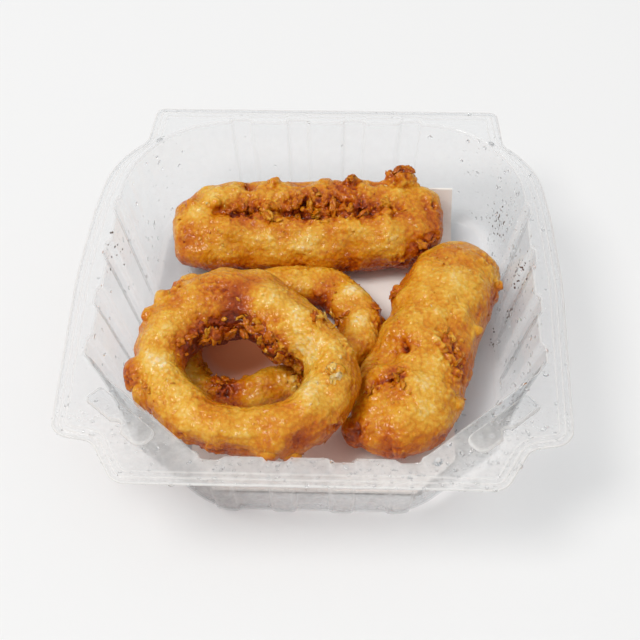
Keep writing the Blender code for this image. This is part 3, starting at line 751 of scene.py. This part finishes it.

# Each piece's own marks. A mark is a pixel of the photograph, a radius in mm and an amount. swells: how
# many mm the crust stands out further, or less where it is negative. The marks for browning and shade:
# how much browner it is, or paler; those in shaded places are painted shade, as said where they stand.
# crags: how craggy it is. flakes: how many flakes lie there. single: one flake, of that radius and so
# brown. furrows: a radius and a depth in mm, and the pixels that the furrow runs through.
FOODS = {
    "ring_front": {
        "swells": (
            (232, 334, 3.2, 1.3), (245, 333, 3.2, 1.6), (255, 333, 2.8, 1.2), (278, 447, 4.5, 0.9),
            (284, 352, 3.5, 0.9), (268, 446, 4.0, 0.4), (291, 450, 3.0, 0.9), (283, 454, 2.5, 0.5),
        ),
        # The browner marks at the hole's upper inner edge are painted shade.
        "browning_and_shade": (
            (186, 350, 4.0, 0.22), (188, 374, 4.0, 0.25), (212, 325, 5.0, 0.16), (234, 320, 5.0, 0.16),
            (232, 300, 6.0, 0.20), (205, 285, 6.0, 0.14), (150, 300, 5.0, 0.28), (128, 365, 5.0, 0.24),
            (250, 328, 6.0, 0.35), (215, 335, 6.0, 0.35), (275, 345, 4.5, 0.30), (190, 345, 5.0, 0.25),
            (280, 458, 4.5, 0.26), (345, 400, 4.0, 0.10), (240, 285, 5.0, 0.14), (300, 440, 5.0, 0.16),
            (143, 320, 4.0, 0.16), (197, 290, 5.0, -0.10), (268, 300, 5.0, -0.10),
            (310, 357, 5.0, -0.18), (243, 334, 5.0, 0.20), (228, 432, 6.0, 0.06),
            (160, 360, 6.0, -0.22), (170, 400, 7.0, -0.18), (295, 335, 6.0, -0.22), (300, 360, 6.0, -0.22),
            (315, 385, 6.0, -0.22), (330, 350, 5.0, -0.12), (245, 430, 7.0, -0.12),
            (205, 425, 6.0, -0.10), (158, 330, 4.0, -0.10),
        ),
        "crags": (
            (262, 338, 5.5, 1.0), (282, 352, 4.0, 1.0), (205, 330, 5.0, 0.8), (322, 320, 3.0, 0.8),
            (150, 300, 5.0, 0.6), (215, 285, 6.0, 0.5), (133, 345, 3.5, 0.7), (128, 378, 3.5, 0.7),
            (150, 408, 3.5, 0.6), (180, 434, 3.5, 0.6), (215, 450, 3.5, 0.7), (250, 457, 3.5, 0.6),
            (305, 450, 4.0, 0.7), (338, 425, 3.5, 0.6), (352, 385, 3.0, 0.5), (175, 290, 3.5, 0.6),
            (345, 345, 3.0, 0.6),
        ),
        "flakes": (
            (262, 335, 3.0, 6), (276, 350, 3.0, 10), (286, 360, 2.6, 10), (205, 330, 4.0, 6),
            (190, 345, 3.0, 5), (240, 322, 4.0, 6),
            (322, 320, 2.4, 5), (334, 374, 2.0, 3), (228, 320, 5.0, 4), (150, 385, 2.0, 1),
        ),
        "single": (
            (325, 318, 2.0, 0.16), (319, 325, 1.5, 0.20), (333, 327, 1.2, 0.30), (336, 379, 2.2, 0.06),
            (331, 369, 1.8, 0.10), (340, 357, 0.9, 0.05), (212, 335, 3.0, 0.62), (224, 331, 2.4, 0.68),
            (201, 340, 2.2, 0.62), (240, 327, 2.0, 0.70), (262, 330, 2.0, 0.45), (269, 337, 2.1, 0.50),
            (275, 347, 2.2, 0.52), (282, 356, 2.4, 0.38), (290, 361, 2.2, 0.36), (297, 368, 1.8, 0.34),
            (208, 338, 2.8, 0.46), (218, 336, 3.2, 0.44), (230, 334, 2.8, 0.50), (243, 332, 2.4, 0.54),
            (252, 331, 2.2, 0.50),
            (258, 322, 1.6, 0.35), (146, 386, 1.3, 0.45), (150, 392, 1.1, 0.40),
        ),
    },
    "ring_behind": {
        "swells": ((334, 312, 4.5, 1.2), (338, 325, 4.0, 1.2), (362, 296, 4.5, 1.2), (374, 314, 4.0, 0.8)),
        # The browner marks on its shaded left part, beside the front ring, are painted shade.
        "browning_and_shade": (
            (202, 362, 5.0, 0.36), (212, 378, 5.0, 0.30),
            (318, 298, 4.5, 0.30), (332, 312, 4.0, 0.26), (376, 312, 3.5, 0.22), (225, 388, 5.0, 0.30),
            (350, 290, 5.0, -0.16), (355, 320, 5.0, -0.18), (300, 275, 4.0, -0.12), (262, 388, 5.0, 0.04),
        ),
        "crags": (
            (376, 308, 2.5, 0.8), (300, 372, 4.0, 0.8), (225, 388, 4.0, 0.8), (206, 370, 5.0, 1.0),
            (300, 270, 3.0, 0.6), (345, 274, 3.0, 0.6), (370, 295, 3.0, 0.6), (378, 325, 3.0, 0.6),
        ),
        "flakes": (
            (298, 372, 3.0, 8), (228, 380, 3.0, 6), (376, 308, 2.0, 2), (330, 300, 2.5, 3),
            (204, 366, 4.0, 9), (214, 384, 3.0, 6), (336, 318, 2.5, 4),
        ),
        "single": (
            (294, 388, 1.2, 0.12), (286, 382, 1.0, 0.25), (206, 366, 2.4, 0.66), (216, 381, 2.0, 0.60),
            (240, 378, 1.8, 0.55), (338, 322, 1.8, 0.55),
        ),
    },
    "ring_back": {
        "swells": (
            (248, 184, 3.0, -2.6), (304, 183, 2.8, -1.2), (373, 184, 2.2, -0.9), (360, 180, 2.0, 0.7),
            (205, 190, 2.5, 0.6), (272, 181, 3.0, 0.4), (185, 235, 3.0, 0.4), (418, 181, 2.2, -0.9),
        ),
        "furrows": (
            (1.5, 1.6, (217, 210), (240, 213), (262, 212)),
            (1.5, 1.9, (284, 214), (318, 217), (345, 216)),
            (1.3, 1.2, (355, 212), (396, 210)),
            (1.2, 0.9, (300, 214), (305, 198)),
        ),
        "browning_and_shade": (
            (240, 215, 6.0, 0.22), (262, 213, 5.0, 0.26), (300, 214, 6.0, 0.24), (330, 210, 6.0, 0.20),
            (365, 212, 6.0, 0.18), (392, 212, 5.0, 0.18), (400, 172, 5.0, 0.22), (424, 247, 5.0, 0.22),
            (345, 185, 6.0, 0.16), (190, 250, 6.0, 0.12), (430, 215, 5.0, 0.12), (355, 262, 7.0, 0.06),
            (190, 215, 6.0, -0.08), (255, 245, 8.0, -0.10), (310, 240, 6.0, -0.14), (370, 235, 8.0, -0.10),
            (260, 243, 6.0, -0.05), (275, 190, 6.0, -0.06), (400, 195, 6.0, -0.14), (220, 195, 6.0, -0.06),
        ),
        "crags": (
            (235, 212, 5.0, 0.8), (262, 212, 5.0, 1.0), (300, 208, 6.0, 1.0), (325, 205, 6.0, 1.0),
            (355, 208, 6.0, 1.0), (390, 210, 5.0, 0.8), (350, 178, 5.0, 0.8), (402, 170, 5.0, 1.0),
            (424, 247, 4.0, 0.8), (205, 188, 3.5, 0.6), (240, 183, 3.0, 0.5), (275, 180, 3.0, 0.6),
            (318, 181, 3.5, 0.8), (380, 184, 3.0, 0.6), (432, 205, 3.0, 0.7), (437, 230, 3.0, 0.7),
            (400, 262, 3.5, 0.7), (350, 268, 3.5, 0.6), (300, 262, 3.5, 0.5), (185, 230, 3.0, 0.5),
        ),
        "flakes": (
            (240, 212, 3.5, 5), (262, 214, 3.0, 7), (275, 210, 3.0, 5), (300, 208, 4.0, 9),
            (318, 214, 3.0, 8), (340, 212, 3.5, 7), (360, 210, 4.0, 6), (392, 210, 4.0, 5),
            (402, 171, 3.0, 6), (345, 180, 4.0, 6), (424, 247, 2.5, 5), (310, 190, 4.0, 3),
        ),
        "single": (
            (267, 216, 2.8, 0.33), (278, 221, 1.7, 0.30), (298, 201, 2.6, 0.48), (311, 206, 3.0, 0.34),
            (318, 215, 2.1, 0.30), (326, 222, 1.5, 0.30), (333, 205, 2.4, 0.48), (350, 208, 2.2, 0.42),
            (366, 212, 1.9, 0.45), (380, 210, 1.7, 0.55), (241, 207, 2.1, 0.52), (228, 212, 1.6, 0.58),
            (252, 211, 1.8, 0.50), (352, 178, 1.8, 0.45), (301, 181, 1.7, 0.42), (410, 172, 1.6, 0.58),
            (397, 170, 1.8, 0.52), (386, 186, 0.8, 0.08), (289, 208, 2.0, 0.55),
        ),
    },
    "stick_right": {
        "furrows": (
            (1.5, 1.5, (403, 342), (406, 350)),
            (1.8, 1.0, (368, 391), (384, 381), (402, 372)),
            (1.2, 0.7, (440, 330), (452, 348), (462, 368)),
        ),
        # The browner mark at its shaded lower left is painted shade.
        "browning_and_shade": (
            (380, 382, 6.0, 0.16), (405, 345, 2.2, 0.24), (398, 374, 4.0, 0.16), (395, 297, 3.5, 0.30),
            (455, 350, 6.0, 0.18), (462, 375, 4.0, 0.16), (365, 425, 5.0, 0.08),
            (420, 262, 5.0, 0.10), (490, 300, 5.0, 0.12), (420, 440, 6.0, 0.06), (350, 430, 4.0, 0.35),
            (440, 270, 7.0, -0.08), (460, 290, 8.0, -0.08), (435, 340, 5.0, -0.07),
            (440, 310, 7.0, -0.12), (430, 375, 6.0, -0.14), (400, 415, 8.0, -0.04),
            (425, 400, 6.0, -0.12), (395, 440, 6.0, 0.06),
        ),
        "crags": (
            (448, 345, 4.5, 1.0), (458, 372, 4.0, 0.9), (395, 298, 3.0, 0.8), (398, 374, 4.0, 0.8),
            (380, 385, 4.0, 0.6), (486, 262, 3.5, 0.6), (497, 290, 3.5, 0.7), (488, 325, 3.5, 0.8),
            (477, 355, 3.5, 0.8), (470, 385, 3.5, 0.8), (462, 415, 3.5, 0.7), (440, 440, 3.5, 0.6),
            (400, 452, 3.5, 0.5), (362, 430, 3.5, 0.6), (420, 255, 3.5, 0.6), (385, 325, 3.0, 0.6),
        ),
        "flakes": (
            (450, 345, 4.0, 6), (460, 372, 3.0, 4), (394, 296, 2.0, 2), (398, 376, 3.0, 5),
            (460, 395, 3.0, 2), (378, 388, 3.0, 2),
        ),
        "single": (
            (406, 346, 1.0, 0.55), (396, 378, 1.8, 0.35), (402, 371, 1.6, 0.40), (452, 338, 1.4, 0.25),
            (446, 330, 1.5, 0.35), (458, 352, 1.6, 0.42), (392, 385, 1.4, 0.45), (394, 296, 1.6, 0.60),
        ),
    },
}
FOOD_SHIFT = np.array((0.71, 0.37, 0.53))  # moves the noise on from one piece to the next
LOOSE_FLAKES, PALE_SHARE = 420, 0.25
LARGE_FLAKE = 0.0013  # a larger one has a finer mesh
# The sizes in mm and the tones of flakes at the marks and of loose ones, whose tone is set against the
# crust under them
FLAKE_SMALLEST, FLAKE_GROWTH, LOOSE_SMALLEST, LOOSE_GROWTH = 0.60, 1.60, 0.25, 0.45
PALE_TONES, BROWN_TONES, LOOSE_TONES = (0.30, 0.37), (0.40, 0.56), (-0.25, 0.20)
dice = random.Random(5)
light_ways = []
while len(light_ways) < LIGHT_RAYS:
    way = Vector([dice.uniform(-1, 1) for _ in range(3)])
    if 0.1 < way.length < 1:
        light_ways.append(way.normalized())
flake_balls = {fineness: ball(fineness) for fineness in (2, 3)}


def even_crust(node):
    """A node's solid again in small even faces, with its edges rounded over."""
    bare = bmesh.new()
    bare.from_mesh(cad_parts[node].data)
    bmesh.ops.remove_doubles(bare, verts=bare.verts, dist=0.000001)
    blank = piece_from(bare, node + "_bare", fried_batter)
    remesh = blank.modifiers.new("even", "REMESH")
    remesh.mode, remesh.voxel_size = "VOXEL", VOXEL
    smooth = blank.modifiers.new("smooth", "SMOOTH")
    smooth.factor, smooth.iterations = 0.5, SMOOTHING
    made = bpy.data.meshes.new_from_object(blank.evaluated_get(bpy.context.evaluated_depsgraph_get()))
    bpy.data.objects.remove(blank, do_unlink=True)
    return made


def open_to_light(places, normals, surface):
    """The share of the room's light that comes to each place past the food itself."""
    share = np.zeros(len(places))
    for k, (place, out) in enumerate(zip(places, normals)):
        out = Vector(out)
        start = Vector(place) + out * LIGHT_START
        for way in light_ways:
            outward = way if way.dot(out) > 0 else -way
            if surface.ray_cast(start, outward, LIGHT_REACH)[0] is None:
                share[k] += 1 / LIGHT_RAYS
    return share


def add_flake(shape, place, out, size, brown, dice):
    """A crisp ragged shard or crumb of batter, partly sunk in the crust."""
    flake = flake_balls[3 if size > LARGE_FLAKE else 2].copy()
    seed = Vector([dice.uniform(-40, 40) for _ in range(3)])
    flat = Vector((1.0, dice.uniform(0.4, 0.8), dice.uniform(0.14, 0.34)))
    lie = Vector([dice.gauss(0, 0.45) for _ in range(3)]) + out
    turn = lie.to_track_quat("Z", "Y").to_matrix() @ Matrix.Rotation(dice.uniform(0, math.tau), 3, "Z")
    tones = []
    for vert in flake.vertices:
        ragged = 1 + 0.75 * noise.noise(vert.co * 1.4 + seed) + 0.4 * noise.noise(vert.co * 3.3 - seed)
        along = vert.co * ragged * flat
        along.z += 0.30 * noise.noise(Vector((vert.co.x, vert.co.y, 0)) * 1.4 + seed * 2)
        vert.co = place + out * size * 0.15 + turn @ along * size
        tones.append(min(max(brown + 0.18 * noise.noise(vert.co / 0.0007 + seed), 0.0), 1.0))
    flake.attributes["browning_and_shade"].data.foreach_set("value", tones)
    shape.from_mesh(flake)
    bpy.data.meshes.remove(flake)


for order, (node, marks) in enumerate(FOODS.items()):
    mesh = even_crust(node)
    points = np.empty(len(mesh.vertices) * 3)
    mesh.vertices.foreach_get("co", points)
    points = points.reshape(-1, 3)
    normals = np.array([tuple(vert.normal) for vert in mesh.vertices])
    pairs = np.empty(len(mesh.edges) * 2, dtype=np.int32)
    mesh.edges.foreach_get("vertices", pairs)
    pairs = pairs.reshape(-1, 2)
    quads = [tuple(face.vertices) for face in mesh.polygons]
    surface = BVHTree.FromPolygons([tuple(p) for p in points], quads)
    shift = FOOD_SHIFT * 10 * (order + 1)

    craggy = np.clip(near_spots(points, marks["crags"], surface), 0.0, 1.0)
    crumbly = ease(layered(points, CRUMBLY_BAND, -shift) * 0.9 + 0.42)
    crumbly = np.clip(np.maximum(crumbly, craggy), 0.0, 1.0)
    swollen = field(points, SWELLING, shift)
    rise = STAND_OUT + SWELLING_HEIGHT * swollen
    rise += PEBBLE_HEIGHT * pebbles(points, PEBBLE, shift) * (0.45 + 0.55 * crumbly)
    rise += GRIT_HEIGHT * layered(points, GRIT, shift + 3.1) * (0.50 + 0.50 * crumbly)
    rise += KNOB_HEIGHT * pebbles(points, KNOB, shift + 7.7) * (0.45 + 0.55 * crumbly)
    rise += CRAG_HEIGHT * craggy * layered(points, CRAG_SIZE, shift + 5.3)
    furrow = near_lines(points, marks.get("furrows", ()), surface)
    rise -= furrow * (0.8 + 0.5 * field(points, FURROW_PATCH, shift))
    rise += near_spots(points, marks.get("swells", ()), surface) / 1000
    hollow = blurred(rise, pairs, 16) - rise
    moved = points + normals * rise[:, None]
    mesh.vertices.foreach_set("co", moved.ravel())

    # Painted shade: the crust is painted browner where the food keeps the room's light off it, in its
    # hollows and furrows, and on its sides and undersides.
    shade = 1 - blurred(open_to_light(moved, normals, surface), pairs, 8)
    brown = GOLDEN + PATCHES_BROWN * field(points, BROWN_PATCH, shift + 1.7) - SWELLINGS_PALE * swollen
    brown += CRUMBS_BROWN * (crumbly - 0.5) + CRAGS_BROWN * craggy
    brown += HOLLOWS_PAINTED_SHADE * np.clip(hollow / DEEP_HOLLOW, -0.9, 1.4)
    brown += FURROWS_PAINTED_SHADE * np.clip(furrow / DEEP_FURROW, 0.0, 1.0)
    brown += PAINTED_SHADE_BROWN * shade + SIDES_PAINTED_SHADE * np.clip(0.75 - normals[:, 2], 0.0, 1.5)
    brown += near_spots(points, marks["browning_and_shade"], surface)
    layer = mesh.attributes.new("browning_and_shade", "FLOAT", "POINT")
    layer.data.foreach_set("value", np.clip(brown, 0.0, BROWNEST).astype(np.float32))

    mesh.materials.clear()
    mesh.materials.append(fried_batter)
    mesh.shade_smooth()
    food = bpy.data.objects.new(node + "_fried", mesh)
    mesh.name = food.name
    bpy.context.scene.collection.objects.link(food)
    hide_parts(node)
    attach(food, "root")

    crust_surface = BVHTree.FromPolygons([tuple(p) for p in moved], quads)
    shards = bmesh.new()
    for px, py, size, brown_there in marks["single"]:
        place, out = crust_surface.ray_cast(CAMERA_PLACE, sight_line(px, py))[:2]
        if place:
            add_flake(shards, place, out, size / 1000, brown_there, dice)
    for px, py, radius, count in marks["flakes"]:
        middle = crust_surface.ray_cast(CAMERA_PLACE, sight_line(px, py))[0]
        spread = radius / 1800  # from mm to m, and so that most flakes lie within the radius
        for _ in range(count if middle else 0):
            near = middle + Vector([dice.gauss(0, spread) for _ in range(3)])
            place, out = crust_surface.find_nearest(near)[:2]
            size = (FLAKE_SMALLEST + FLAKE_GROWTH * dice.random() ** 2) / 1000
            tones = PALE_TONES if dice.random() < PALE_SHARE else BROWN_TONES
            add_flake(shards, place, out, size, dice.uniform(*tones), dice)
    for _ in range(LOOSE_FLAKES):
        k = dice.randrange(len(moved))
        if crumbly[k] > dice.random():
            size = (LOOSE_SMALLEST + LOOSE_GROWTH * dice.random() ** 2) / 1000
            place, out = Vector(moved[k]), Vector(normals[k])
            tone = float(brown[k]) + dice.uniform(*LOOSE_TONES)
            add_flake(shards, place, out, size, tone, dice)
    flakes = piece_from(shards, node + "_flakes", crisp_batter)
    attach(flakes, "root")
